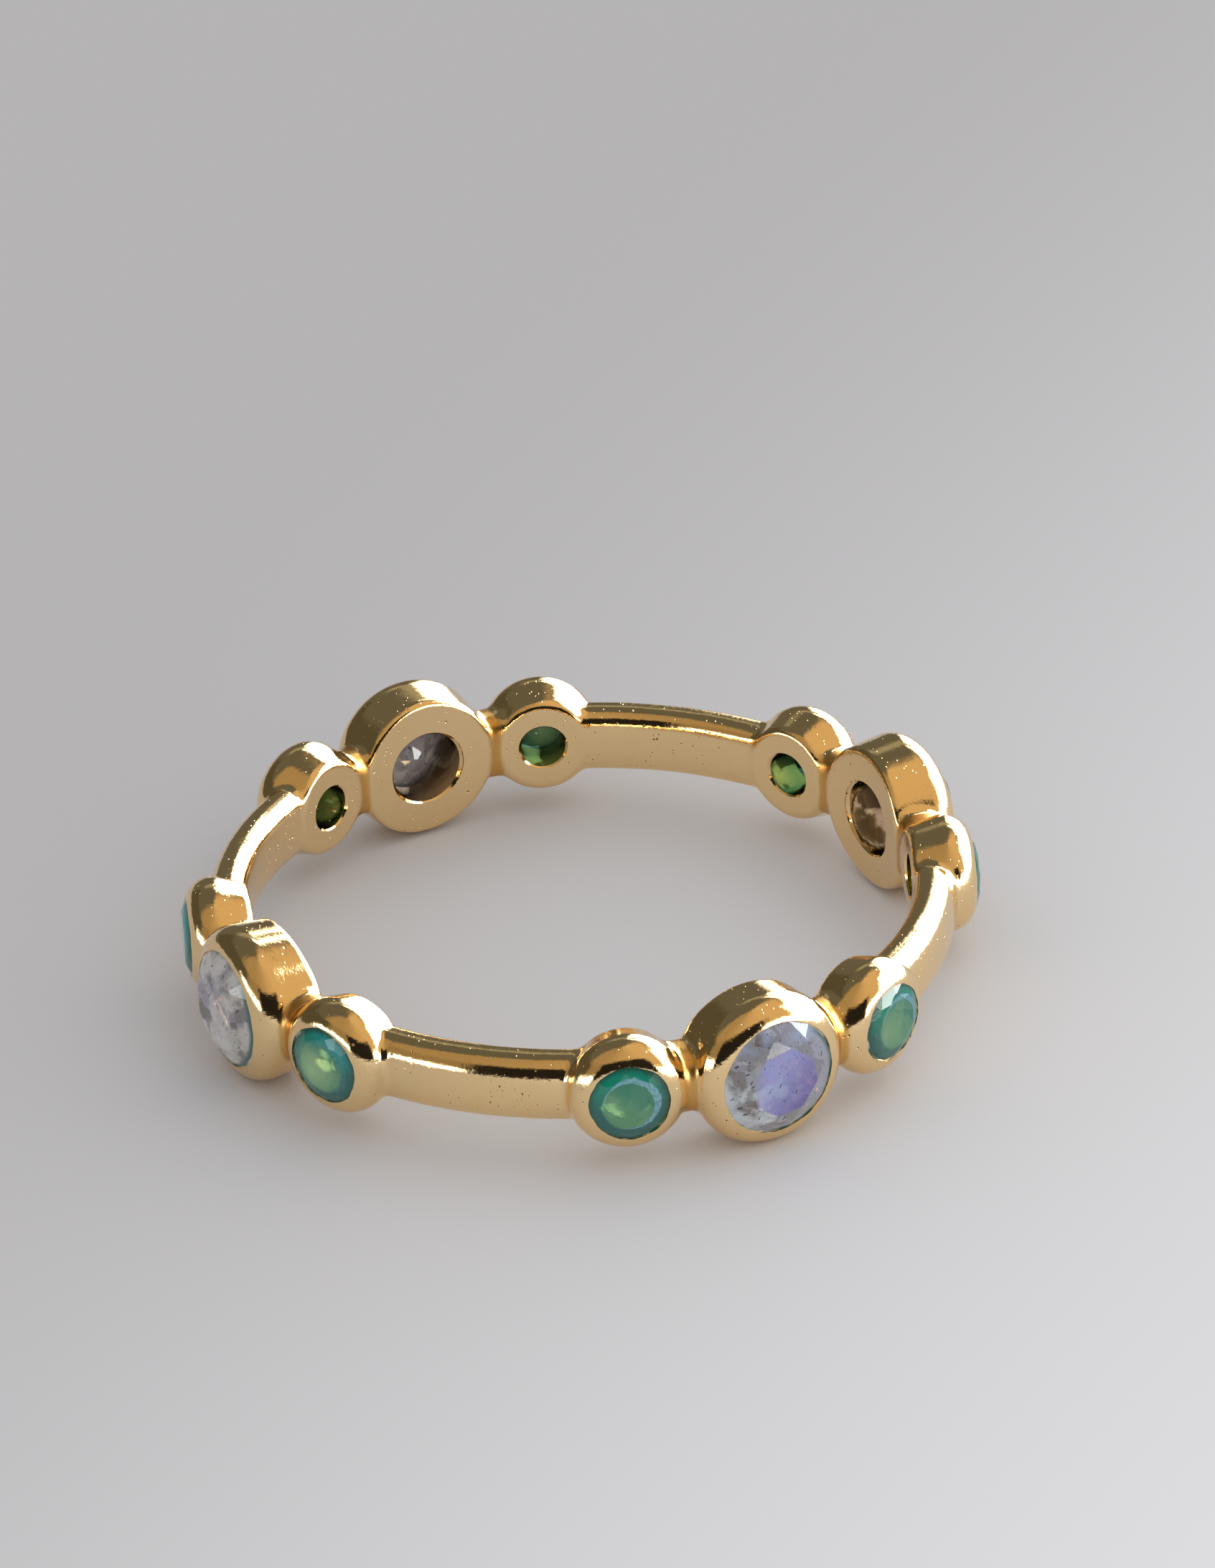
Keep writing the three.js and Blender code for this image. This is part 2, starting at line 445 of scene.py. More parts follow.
def make_casting():
    step = FINE_STEP * 1
    angles = grid_angles(step / BAR_OUTER_RADIUS, COARSE_STEP / BAR_OUTER_RADIUS)
    radii = np.arange(FINGER_RADIUS - MARGIN * step, OUTER_REACH + OUTER_MARGIN * step, step)
    top = LARGE["belly"] + MARGIN * step
    heights = np.arange(-top, top + step, step)
    vertices, quads = contour(casting_distance, angles, radii, heights)
    blank = bpy.data.meshes.new("blank")
    blank.from_pydata(vertices.tolist(), [], quads.tolist())
    mesh = cut_pockets(add_object("blank", blank))
    mesh.name = "ring_casting"
    weld_corners(mesh)
    shade_from_distance(mesh)
    # Where the gold gets painted shade, on the webs between cups.
    web_shade = mesh.attributes.new("web_shade", "FLOAT", "POINT")
    web_shade.data.foreach_set("value", web_shade_share(read_mesh(mesh.vertices, "co", 3)))
    mesh.transform(Matrix.Scale(MM, 4) @ Matrix.Translation((0, 0, MID_HEIGHT)))
    return add_object("ring_casting", mesh)


# ---- Stones ----

# Radii about the stone's axis, and planes along it, as for the settings.
LARGE_STONE = {
    "girdle": 1.61, "table": 0.96, "table_plane": 10.74, "girdle_top": 10.35,
    "girdle_bottom": 10.2, "culet": 9.2,
}
SMALL_STONE = {
    "girdle": 1.095, "table": 0.68, "table_plane": 10.44, "girdle_top": 10.255,
    "girdle_bottom": 10.13, "culet": 9.45,
}
SIDES = 8
GIRDLE_SIDES = 64
TABLE_TURN = math.pi / SIDES

# Slopes of the star, rim and back rim facets, as shares of the main facets' slopes.
STAR_SLOPE = 0.55
RIM_SLOPE = 1.25
BACK_RIM_SLOPE = 1.06

# How far a stone and its facets stray: turns in radians, slopes as shares, planes in millimetres.
STONE_TURN_ERROR = 0.08
FACET_TURN_ERROR = 0.02
FACET_SLOPE_ERROR = 0.03
FACET_PLANE_ERROR = 0.003

# How strongly each labradorite flashes, and how worn the edge of each green onyx's table is, which also
# sets the painted reflection there; the less worn, the stronger the stone's painted glow.
FLASHES = (1.0, 0.7, 0.8, 0.12)
WEAR_AND_SHEEN = (1.0, 0.7, 0.5, 0.3, 0.6, 0.4, 0.3, 0.15)

# What the layer "facet_kind" holds for each kind of facet.
TABLE_FACE, STAR_FACE, MAIN_FACE, RIM_FACE, BACK_FACE = 1.0, 0.75, 0.5, 0.25, 0.0

# The tone of facets that are not sawn, and how far apart the stones' patterns are taken.
BLANK_TONE = 0.5
PLACE_SHIFT = 20
STONE_SEED = 3


def facet_planes(cut):
    """Kind, turn, radius, plane and slope of every facet but the table and the round girdle."""
    girdle, table = cut["girdle"], cut["table"]
    rise = (cut["table_plane"] - cut["girdle_top"]) / (girdle - table)
    drop = (cut["girdle_bottom"] - cut["culet"]) / girdle
    side = 2 * math.pi / SIDES
    table_edge = table * math.cos(side / 2)
    rim = girdle * math.cos(side / 4)
    planes = []
    for k in range(SIDES):
        star = (k + 0.5) * side
        planes.append((STAR_FACE, star, table_edge, cut["table_plane"], rise * STAR_SLOPE))
        planes.append((MAIN_FACE, k * side, table, cut["table_plane"], rise))
        planes.append((BACK_FACE, k * side, girdle, cut["girdle_bottom"], -drop))
        for half in (0.25, 0.75):
            turn = (k + half) * side
            planes.append((RIM_FACE, turn, rim, cut["girdle_top"], rise * RIM_SLOPE))
            planes.append((BACK_FACE, turn, rim, cut["girdle_bottom"], -drop * BACK_RIM_SLOPE))
    return planes


def cut_facets(cut, turn, uneven):
    """A round blank with each facet sawn off it in turn. Its axis is Z, in millimetres."""
    stone = bmesh.new()
    kind_layer = stone.faces.layers.float.new("facet_kind")
    tone_layer = stone.faces.layers.float.new("facet_tone")
    depth = cut["table_plane"] - cut["culet"]
    bmesh.ops.create_cone(
        stone, cap_ends=True, segments=GIRDLE_SIDES, radius1=cut["girdle"], radius2=cut["girdle"],
        depth=depth, matrix=Matrix.Translation((0, 0, cut["culet"] + depth / 2)),
    )
    for face in stone.faces:
        face[kind_layer] = TABLE_FACE if face.normal.z > 0.9 else RIM_FACE
        face[tone_layer] = BLANK_TONE
    for kind, angle, radius, plane, slope in facet_planes(cut):
        angle += turn + uneven.normal(0, FACET_TURN_ERROR)
        slope *= 1 + uneven.normal(0, FACET_SLOPE_ERROR)
        radial = Vector((math.cos(angle), math.sin(angle), 0))
        normal = (radial * abs(slope) + Vector((0, 0, math.copysign(1, slope)))).normalized()
        middle = radial * radius + Vector((0, 0, plane + uneven.normal(0, FACET_PLANE_ERROR)))
        everything = stone.verts[:] + stone.edges[:] + stone.faces[:]
        sawn = bmesh.ops.bisect_plane(
            stone, geom=everything, dist=1e-5, plane_co=middle, plane_no=normal, clear_outer=True,
        )
        rim = [part for part in sawn["geom_cut"] if isinstance(part, bmesh.types.BMEdge)]
        if len(rim) < 3:
            continue
        for face in bmesh.ops.edgeloop_fill(stone, edges=rim)["faces"]:
            face[kind_layer] = kind
            face[tone_layer] = uneven.uniform()
    bmesh.ops.recalc_face_normals(stone, faces=stone.faces[:])
    return stone


def make_stone(name, cut, azimuth, uneven, strength):
    """A cut stone, turned to face out of the ring at the azimuth, with what its material reads."""
    stone = cut_facets(cut, TABLE_TURN + uneven.normal(0, STONE_TURN_ERROR), uneven)
    place_layer = stone.verts.layers.float_vector.new("stone_place")
    shift_layer = stone.verts.layers.float_vector.new("stone_shift")
    strength_layer = stone.verts.layers.float.new("stone_strength")
    shift = Vector(uneven.uniform(-PLACE_SHIFT, PLACE_SHIFT, 3))
    sideways = Vector((-math.sin(azimuth), math.cos(azimuth), 0))
    outward = Vector((math.cos(azimuth), math.sin(azimuth), 0))
    for vertex in stone.verts:
        side, up, out = vertex.co
        vertex[place_layer] = Vector((side, up, out - cut["table_plane"])) / cut["girdle"]
        vertex[shift_layer] = vertex[place_layer] + shift
        vertex[strength_layer] = strength
        vertex.co = (sideways * side + Vector((0, 0, up + MID_HEIGHT)) + outward * out) * MM
    mesh = bpy.data.meshes.new(name)
    stone.to_mesh(mesh)
    stone.free()
    return add_object(name, mesh)


# ---- Materials ----

class Nodes:
    """Small helper that adds and links nodes in one tree."""

    def __init__(self, tree):
        self.nodes = tree.nodes
        self.links = tree.links

    def node(self, kind, **settings):
        made = self.nodes.new(kind)
        for key, value in settings.items():
            setattr(made, key, value)
        return made

    def fill(self, socket, value):
        if hasattr(value, "is_output"):
            self.links.new(value, socket)
        else:
            socket.default_value = value

    def math(self, operation, *values):
        made = self.node("ShaderNodeMath", operation=operation)
        for socket, value in zip(made.inputs, values):
            self.fill(socket, value)
        return made.outputs[0]

    def vector(self, operation, *values):
        made = self.node("ShaderNodeVectorMath", operation=operation)
        for socket, value in zip(made.inputs, values):
            self.fill(socket, value)
        return made.outputs["Value" if operation in ("LENGTH", "DISTANCE", "DOT_PRODUCT") else "Vector"]

    def scaled(self, vector, size):
        made = self.node("ShaderNodeVectorMath", operation="SCALE")
        self.fill(made.inputs[0], vector)
        made.inputs["Scale"].default_value = size
        return made.outputs["Vector"]

    def step(self, value, start, end):
        """Rises smoothly from 0 at start to 1 at end."""
        made = self.node("ShaderNodeMapRange", interpolation_type="SMOOTHSTEP")
        self.fill(made.inputs["Value"], value)
        made.inputs["From Min"].default_value = start
        made.inputs["From Max"].default_value = end
        return made.outputs["Result"]

    def between(self, value, start, end, blur):
        """1 from start to end, with edges as wide as the blur."""
        rising = self.step(value, start - blur / 2, start + blur / 2)
        return self.math("MULTIPLY", rising, self.step(value, end + blur / 2, end - blur / 2))

    def mix(self, share, first, second):
        """The first colour where the share is 0, the second where it is 1."""
        made = self.node("ShaderNodeMix", data_type="RGBA")
        # This node keeps its two colours and its colour output after those of other kinds.
        self.fill(made.inputs[0], share)
        self.fill(made.inputs[6], first)
        self.fill(made.inputs[7], second)
        return made.outputs[2]

    def noise(self, vector, scale, detail=2.0):
        made = self.node("ShaderNodeTexNoise")
        self.fill(made.inputs["Vector"], vector)
        made.inputs["Scale"].default_value = scale
        made.inputs["Detail"].default_value = detail
        return made.outputs["Fac"]

    def cells(self, vector, scale, dimensions="3D"):
        """Distance to the nearest of many scattered points, and a random colour for each."""
        made = self.node("ShaderNodeTexVoronoi", voronoi_dimensions=dimensions)
        self.fill(made.inputs["Vector"], vector)
        made.inputs["Scale"].default_value = scale
        return made.outputs["Distance"], made.outputs["Color"]

    def parts(self, vector):
        made = self.node("ShaderNodeSeparateXYZ")
        self.fill(made.inputs[0], vector)
        return made.outputs

    def joined(self, x, y, z):
        made = self.node("ShaderNodeCombineXYZ")
        for socket, value in zip(made.inputs, (x, y, z)):
            self.fill(socket, value)
        return made.outputs[0]

    def bump(self, height_mm):
        made = self.node("ShaderNodeBump")
        made.inputs["Distance"].default_value = MM
        self.fill(made.inputs["Height"], height_mm)
        return made.outputs["Normal"]


def new_material(name):
    material = bpy.data.materials.new(name)
    material.use_nodes = True
    return material, Nodes(material.node_tree), material.node_tree.nodes["Principled BSDF"]


def attribute(tree, name, output):
    return tree.node("ShaderNodeAttribute", attribute_name=name).outputs[output]


# ---- Gold ----

GOLD = (0.95, 0.69, 0.36, 1)
DEEP_GOLD = (0.86, 0.52, 0.20, 1)
PIT_GOLD = (0.30, 0.14, 0.05, 1)
# Painted shade: the deeper orange that light bouncing in the crevices between cups gives.
WEB_SHADE_GOLD = (0.66, 0.34, 0.07, 1)

# Heights of the marks in the surface, in millimetres.
GRAIN_HEIGHT = 0.0050
FINE_GRAIN_HEIGHT = 0.0007
BRUSH_HEIGHT = 0.0006
PIT_HEIGHT = -0.016

# Brush lines to the millimetre, along the band and across it.
BRUSH_ALONG = 1.2
BRUSH_ACROSS = 28.0

# Where the pits crowd together: low on the front bar.
PIT_PATCH_ANGLE = math.radians(-131)
PIT_PATCH = (
    BAR_OUTER_RADIUS * math.cos(PIT_PATCH_ANGLE),
    BAR_OUTER_RADIUS * math.sin(PIT_PATCH_ANGLE),
    MID_HEIGHT - 0.25,
)


def casting_pits(tree, place):
    """1 in each small pit: sparse ones in patches, finer ones in others, and one crowd."""
    patchy = tree.step(tree.noise(place, 0.6), 0.52, 0.62)
    speckled = tree.step(tree.noise(place, 1.1), 0.46, 0.56)
    crowded = tree.step(tree.vector("DISTANCE", place, PIT_PATCH), 0.9, 0.3)
    pits = None
    for pits_to_mm, where in ((3.4, patchy), (5.6, speckled), (7.0, crowded)):
        distance, _ = tree.cells(place, pits_to_mm)
        pit = tree.math("MULTIPLY", tree.step(distance, 0.13, 0.05), where)
        pits = pit if pits is None else tree.math("MAXIMUM", pits, pit)
    return pits


def gold_height(tree, place, pits):
    """Grain, brush lines round the band, and the pits."""
    x, y, z = tree.parts(place)
    around = tree.math("MULTIPLY", tree.math("ARCTAN2", y, x), BAND_MID_RADIUS)
    along = tree.math("MULTIPLY", around, BRUSH_ALONG)
    across = tree.math("MULTIPLY", z, BRUSH_ACROSS)
    brushed = tree.noise(tree.joined(along, 0.0, across), 1.0)
    height = tree.math("MULTIPLY", tree.noise(place, 7.0, 3.0), GRAIN_HEIGHT)
    height = tree.math("MULTIPLY_ADD", tree.noise(place, 34.0), FINE_GRAIN_HEIGHT, height)
    height = tree.math("MULTIPLY_ADD", brushed, BRUSH_HEIGHT, height)
    return tree.math("MULTIPLY_ADD", pits, PIT_HEIGHT, height)


def gold_material():
    """Polished gold, freckled where it is worn, with painted shade of a deeper orange in the crevices
    between cups, and dark in its pits.
    """
    material, tree, shader = new_material("polished_gold")
    place = tree.scaled(tree.node("ShaderNodeTexCoord").outputs["Object"], 1 / MM)
    pits = casting_pits(tree, place)
    web_shade = attribute(tree, "web_shade", "Fac")
    worn = tree.step(tree.noise(place, 1.6, 4.0), 0.48, 0.70)
    freckled = tree.math("MULTIPLY", worn, tree.step(tree.noise(place, 22.0, 3.0), 0.50, 0.66))

    colour = tree.mix(tree.math("MULTIPLY", freckled, 0.45), GOLD, DEEP_GOLD)
    # Painted shade: a deeper orange gold on the webs between cups.
    colour = tree.mix(tree.math("MULTIPLY", web_shade, 0.85), colour, WEB_SHADE_GOLD)
    tree.fill(shader.inputs["Base Color"], tree.mix(pits, colour, PIT_GOLD))
    roughness = tree.math("MULTIPLY_ADD", tree.noise(place, 3.0, 4.0), 0.10, 0.035)
    roughness = tree.math("MULTIPLY_ADD", freckled, 0.10, roughness)
    roughness = tree.math("MULTIPLY_ADD", web_shade, 0.22, roughness)
    tree.fill(shader.inputs["Roughness"], tree.math("MULTIPLY_ADD", pits, 0.3, roughness))
    tree.fill(shader.inputs["Normal"], tree.bump(gold_height(tree, place, pits)))
    shader.inputs["Metallic"].default_value = 1.0
    return material


# ---- What both kinds of stone share ----

STONE_SEE_THROUGH = 0.25
RIPPLE_DETAIL = 3.0


class StonePlace:
    """What a stone's material reads from its mesh. Lengths are in girdle radii."""

    def __init__(self, tree):
        self.side, self.up, _ = tree.parts(attribute(tree, "stone_place", "Vector"))
        self.reach = tree.vector("LENGTH", tree.joined(self.side, self.up, 0.0))
        self.shift = attribute(tree, "stone_shift", "Vector")
        self.strength = attribute(tree, "stone_strength", "Fac")


def painted_edge_highlight(tree, at, start):
    """A broken painted highlight: a bright line where the stone's edge meets the burnished lip."""
    broken = tree.step(tree.noise(at.shift, 3.0, 3.0), 0.46, 0.60)
    return tree.math("MULTIPLY", tree.step(at.reach, start, start + 0.015), broken)


def polish_stone(tree, shader, at, refraction, ripple_scale, ripple_height):
    """Lets some light through, and ripples the polish faintly. The height is in millimetres."""
    shader.inputs["IOR"].default_value = refraction
    shader.inputs["Transmission Weight"].default_value = STONE_SEE_THROUGH
    ripples = tree.noise(at.shift, ripple_scale, RIPPLE_DETAIL)
    tree.fill(shader.inputs["Normal"], tree.bump(tree.math("MULTIPLY", ripples, ripple_height)))


# ---- Labradorite ----

SMOKE = (0.20, 0.17, 0.14, 1)
MIST = (0.46, 0.46, 0.50, 1)
LILAC = (0.52, 0.53, 0.70, 1)
SKY = (0.46, 0.56, 0.78, 1)
# White of the painted reflections from inside the stone.
INNER_REFLECTION_WHITE = (0.80, 0.86, 0.89, 1)
WISP = (0.76, 0.80, 0.86, 1)
CREAM = (0.92, 0.88, 0.80, 1)
FLASH_BLUE = (0.44, 0.48, 0.90, 1)
FLASH_VIOLET = (0.26, 0.22, 0.54, 1)
FLASH_LAVENDER = (0.56, 0.48, 0.84, 1)
FLASH_PALE = (0.66, 0.76, 0.98, 1)
NEEDLE = (0.035, 0.035, 0.06, 1)
SHADED_RIM = (0.09, 0.20, 0.19, 1)
LABRADORITE_EDGE_HIGHLIGHT = (0.90, 0.84, 0.62, 1)


def labradorite_crown(tree, at, clouds):
    """Clear grey, lilac on one side and sky blue at the top, with bright painted reflections from
    inside in cloudy patches to the left and low down, and wisps.
    """
    tone = attribute(tree, "facet_tone", "Fac")
    seen_through = tree.parts(tree.cells(at.shift, 2.4)[1])[0]
    colour = tree.mix(seen_through, SMOKE, MIST)
    lilac_side = tree.step(tree.math("MULTIPLY_ADD", at.up, 0.4, at.side), -0.1, 0.6)
    lilac = tree.math("MULTIPLY", tree.math("MULTIPLY_ADD", tone, 0.6, 0.2), lilac_side)
    colour = tree.mix(tree.math("MULTIPLY", lilac, at.strength), colour, LILAC)
    sky = tree.math("MULTIPLY", tree.step(at.up, 0.45, 0.75), tree.step(clouds, 0.40, 0.60))
    colour = tree.mix(tree.math("MULTIPLY", sky, at.strength), colour, SKY)

    # Painted reflection: light thrown back from inside the stone, in cloudy patches that lean to the
    # left and low down.
    lifted = tree.math("MULTIPLY_ADD", at.up, -0.10, clouds)
    painted_reflection_side = tree.math("MULTIPLY_ADD", at.side, -0.16, lifted)
    colour = tree.mix(tree.step(painted_reflection_side, 0.53, 0.68), colour, INNER_REFLECTION_WHITE)
    wisps = tree.step(tree.noise(at.shift, 5.0, 4.0), 0.58, 0.72)
    colour = tree.mix(tree.math("MULTIPLY", wisps, 0.55), colour, WISP)
    dull = tree.math("SUBTRACT", 1.0, at.strength)
    creamy = tree.math("MULTIPLY", dull, tree.step(clouds, 0.42, 0.54))
    return tree.mix(tree.math("MULTIPLY", creamy, 0.75), colour, CREAM)


def labradorite_flash(tree, at, clouds):
    """The flash behind the table: from blue to violet, mottled lavender, with pale clouds."""
    lean = tree.math("MULTIPLY_ADD", at.up, -0.8, at.side)
    colour = tree.mix(tree.step(lean, -0.45, 0.80), FLASH_BLUE, FLASH_VIOLET)
    mottled = tree.math("MULTIPLY", tree.step(tree.noise(at.shift, 3.2, 5.0), 0.46, 0.66), 0.6)
    colour = tree.mix(mottled, colour, FLASH_LAVENDER)
    return tree.mix(tree.math("MULTIPLY", tree.step(clouds, 0.56, 0.72), 0.5), colour, FLASH_PALE)


def needles(tree, place, lean, to_radius, slenderness, thickness):
    """Short needles that lie one way, so many to a girdle radius. Thickness is in their spacings."""
    turned = tree.node("ShaderNodeVectorRotate", rotation_type="Z_AXIS")
    tree.fill(turned.inputs["Vector"], place)
    turned.inputs["Angle"].default_value = -lean
    stretched = tree.vector("MULTIPLY", turned.outputs[0], (1 / slenderness, 1.0, 0.0))
    distance, chance = tree.cells(stretched, to_radius, "2D")
    size, shown, _ = tree.parts(chance)
    distance = tree.math("DIVIDE", distance, tree.math("MULTIPLY_ADD", size, 0.8, 0.5))
    shape = tree.step(distance, thickness, thickness * 0.6)
    return tree.math("MULTIPLY", shape, tree.step(shown, 0.40, 0.60))


def labradorite_needles(tree, at):
    """Four kinds of dark needles. The largest kind lies only in the left half."""
    long = needles(tree, at.shift, lean=1.15, to_radius=7.0, slenderness=4.0, thickness=0.075)
    fine = needles(tree, at.shift, lean=1.0, to_radius=15.0, slenderness=2.6, thickness=0.10)
    large = needles(tree, at.shift, lean=0.5, to_radius=5.0, slenderness=2.4, thickness=0.085)
    crossing = needles(tree, at.shift, lean=-0.7, to_radius=12.0, slenderness=2.0, thickness=0.07)
    large = tree.math("MULTIPLY", large, tree.step(at.side, 0.1, -0.3))
    dark = tree.math("MAXIMUM", tree.math("MAXIMUM", long, fine), large)
    return tree.math("MAXIMUM", dark, crossing)


def labradorite_material():
    """Clear grey stone with a lavender flash behind its table and dark needles in it."""
    material, tree, shader = new_material("labradorite")
    at = StonePlace(tree)
    clouds = tree.noise(at.shift, 1.7, 5.0)
    on_table = tree.step(attribute(tree, "facet_kind", "Fac"), 0.8, 0.9)
    flashing = tree.math("MULTIPLY", on_table, tree.step(at.side, -0.66, -0.30))
    flashing = tree.math("MULTIPLY", flashing, at.strength)
    crown = labradorite_crown(tree, at, clouds)
    colour = tree.mix(flashing, crown, labradorite_flash(tree, at, clouds))
    colour = tree.mix(tree.math("MULTIPLY", labradorite_needles(tree, at), 0.9), colour, NEEDLE)

    low_right = tree.step(tree.math("MULTIPLY_ADD", at.up, -0.5, at.side), 0.1, 0.5)
    shaded_rim = tree.math("MULTIPLY", tree.step(at.reach, 0.86, 0.93), low_right)
    colour = tree.mix(shaded_rim, colour, SHADED_RIM)
    # Painted highlight along the stone's edge at the lip.
    colour = tree.mix(painted_edge_highlight(tree, at, 0.945), colour, LABRADORITE_EDGE_HIGHLIGHT)
    tree.fill(shader.inputs["Base Color"], colour)
    shader.inputs["Roughness"].default_value = 0.04
    polish_stone(tree, shader, at, refraction=1.56, ripple_scale=26.0, ripple_height=0.0005)
    return material


# ---- Green onyx ----

TEAL = (0.036, 0.19, 0.165, 1)
JADE = (0.018, 0.34, 0.22, 1)
MOSS = (0.050, 0.30, 0.19, 1)
LEAF = (0.15, 0.40, 0.21, 1)
PALE_LEAF = (0.29, 0.52, 0.31, 1)
# Yellow green of the painted glow.
GLOW_LIME = (0.52, 0.80, 0.42, 1)
SEA_BLUE = (0.02, 0.36, 0.42, 1)
# Whitish blue of the scuffs and of the painted reflection along the table's edge.
SCUFF_AND_GLINT = (0.34, 0.66, 0.82, 1)
DEEP_GREEN = (0.030, 0.14, 0.10, 1)
ONYX_EDGE_HIGHLIGHT = (0.80, 0.80, 0.62, 1)
GLOW_PLACE = (-0.18, -0.05, 0.0)


def onyx_body(tree, at, low_left):
    """Milky teal, paler where painted light comes through the middle, and a brighter green at the top
    as a painted reflection.
    """
    clouds = tree.noise(at.shift, 1.5, 4.0)
    # Painted reflection: a brighter green towards the top, in cloudy patches.
    top = tree.step(tree.math("MULTIPLY_ADD", clouds, 1.6, at.up), 0.7, 1.5)
    # Painted light through the open back: the middle is paler in cells, and lighter to the lower left.
    seen_through = tree.parts(tree.cells(at.shift, 2.6)[1])[0]
    pale = tree.math("MULTIPLY", tree.step(seen_through, 0.3, 1.0), 0.45)
    middle = tree.mix(pale, tree.mix(low_left, MOSS, LEAF), PALE_LEAF)
    colour = tree.mix(tree.step(at.reach, 0.66, 0.56), tree.mix(top, TEAL, JADE), middle)

    # A less worn stone gets a painted yellow-green glow on one side of its middle, of light through the
    # open back, and is bluer at the top right.
    fresh = tree.math("SUBTRACT", 1.0, at.strength)
    off_middle = tree.vector("DISTANCE", tree.joined(at.side, at.up, 0.0), GLOW_PLACE)
    painted_glow = tree.math("MULTIPLY", fresh, tree.step(off_middle, 0.75, 0.1))
    colour = tree.mix(tree.math("MULTIPLY", painted_glow, 0.8), colour, GLOW_LIME)
    top_right = tree.step(tree.math("MULTIPLY_ADD", at.side, 0.5, at.up), 0.35, 0.95)
    blue = tree.math("MULTIPLY", fresh, top_right)
    return tree.mix(tree.math("MULTIPLY", blue, 0.8), colour, SEA_BLUE)


def onyx_scuffs_and_glints(tree, at):
    """Scuffs and a painted reflection along the table's edge, spreading on its upper right, and a
    ragged distance out.
    """
    lean = tree.math("MULTIPLY", tree.math("MULTIPLY_ADD", at.up, 0.55, at.side), 0.11)
    width = tree.math("ADD", lean, 0.61)
    width = tree.math("MULTIPLY_ADD", tree.noise(at.shift, 1.3), 0.12, width)
    inward = tree.math("SUBTRACT", at.reach, 0.035)
    ragged = tree.math("MULTIPLY_ADD", tree.noise(at.shift, 8.0, 5.0), 0.07, inward)
    fading = tree.step(tree.math("SUBTRACT", width, ragged), -0.01, 0.03)
    scuff_and_glint = tree.math("MULTIPLY", tree.step(ragged, 0.585, 0.605), fading)
    return tree.math("MULTIPLY", scuff_and_glint, at.strength), ragged


def onyx_material():
    """Milky teal stone with a scuffed table edge that also carries a painted reflection, and a dark
    rim.
    """
    material, tree, shader = new_material("green_onyx")
    at = StonePlace(tree)
    low_left = tree.step(tree.math("ADD", at.side, at.up), 0.5, -0.4)
    colour = onyx_body(tree, at, low_left)
    scuff_and_glint, ragged = onyx_scuffs_and_glints(tree, at)
    gritty = tree.step(tree.noise(at.shift, 13.0, 5.0), 0.32, 0.62)
    grit = tree.math("MULTIPLY_ADD", gritty, 0.5, 0.35)
    # Partly scuffs, partly a painted reflection on the crown facets.
    colour = tree.mix(tree.math("MULTIPLY", scuff_and_glint, grit), colour, SCUFF_AND_GLINT)
    colour = tree.mix(tree.step(ragged, 0.78, 0.93), colour, DEEP_GREEN)
    # Painted highlight along the stone's edge at the lip, on its lower left.
    edge = tree.math("MULTIPLY", painted_edge_highlight(tree, at, 0.93), low_left)
    colour = tree.mix(edge, colour, ONYX_EDGE_HIGHLIGHT)
    tree.fill(shader.inputs["Base Color"], colour)
    tree.fill(shader.inputs["Roughness"], tree.math("MULTIPLY_ADD", scuff_and_glint, 0.25, 0.06))
    polish_stone(tree, shader, at, refraction=1.54, ripple_scale=20.0, ripple_height=0.0008)
    return material


# ---- Camera and floor ----

# The camera looks at the middle of the ring from the photo's side, with the azimuth counted from
# -Y, and is then turned a little for the photo's framing.
CAMERA_AZIMUTH = math.radians(-27.65)
CAMERA_ELEVATION = math.radians(29.59)
CAMERA_DISTANCE = 240.0
CAMERA_PAN = math.radians(0.189)
CAMERA_TILT = math.radians(0.740)
CAMERA_ROLL = math.radians(2.0)
LONG_SIDE_VIEW = math.radians(9.755)

# The floor's colour is painted lighter towards one side of the room, as painted light under a window
# there. It reaches that many metres each way, and the ends of its shading are in millimetres from the
# ring's axis.
FLOOR_REACH = 1.5
FLOOR_LIGHTER_WAY = math.radians(-57.65)
FLOOR_DARKER = (0.60, 0.59, 0.59, 1)
FLOOR_LIGHTER = (0.98, 0.98, 0.99, 1)
FLOOR_DARK_END = -22
FLOOR_LIGHT_END = 40


def make_camera():
    data = bpy.data.cameras.new("camera")
    data.sensor_fit = "AUTO"
    data.angle = LONG_SIDE_VIEW
    data.clip_start = 0.01
    data.clip_end = 10
    camera = add_object("camera", data)
    back = Vector((
        math.sin(CAMERA_AZIMUTH) * math.cos(CAMERA_ELEVATION),
        -math.cos(CAMERA_AZIMUTH) * math.cos(CAMERA_ELEVATION),
        math.sin(CAMERA_ELEVATION),
    ))
    looking = (-back).to_track_quat("-Z", "Y").to_matrix().to_4x4()
    looking = looking @ Matrix.Rotation(-CAMERA_PAN, 4, "Y") @ Matrix.Rotation(CAMERA_TILT, 4, "X")
    looking = looking @ Matrix.Rotation(-CAMERA_ROLL, 4, "Z")
    centre = Vector((0, 0, MID_HEIGHT * MM))
    camera.matrix_world = Matrix.Translation(centre + back * CAMERA_DISTANCE * MM) @ looking
    bpy.context.scene.camera = camera


